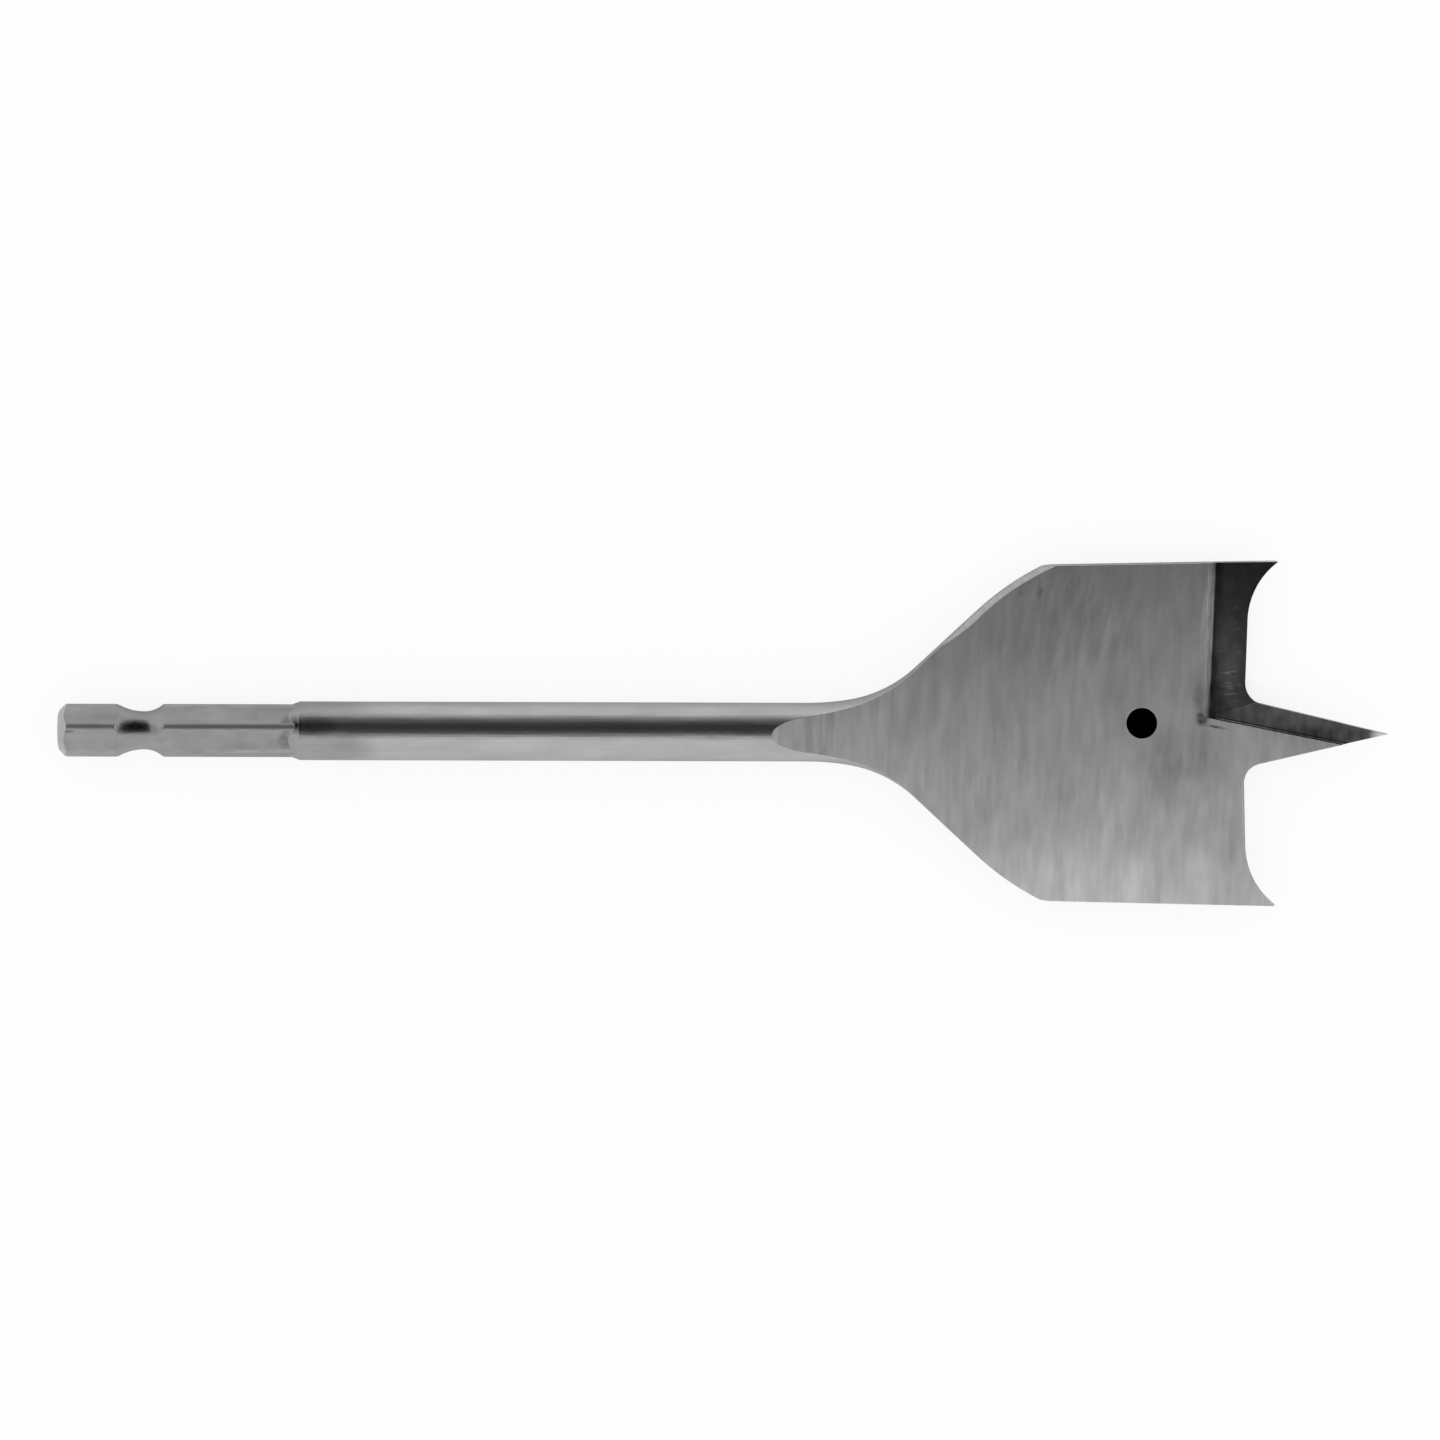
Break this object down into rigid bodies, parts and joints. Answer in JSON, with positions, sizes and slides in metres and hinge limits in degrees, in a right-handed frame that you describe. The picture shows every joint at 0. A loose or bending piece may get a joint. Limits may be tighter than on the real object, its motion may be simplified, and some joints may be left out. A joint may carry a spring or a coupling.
{
  "type": "spade drill bit",
  "caption": "Flat wood-boring drill bit: hexagonal shank with a snap groove, round shaft flaring into a flat ground blade with a centre point, cutting lips, spurs and a hanging hole.",
  "frame": {"origin": "centre of the hexagonal shank's driven end", "axes": "+X along the bit's axis towards the point, +Z out of the blade's ground face that has its cutting lip at +Y, +Y across the blade"},
  "size_m": [0.1675, 0.0436, 0.0074],
  "materials": {
    "steel": "bright steel: blade faces ground across, shaft and shank smooth, rake hollows dark"
  },
  "bodies": {
    "root": {"spade_bit": "steel"}
  },
  "joints": []
}
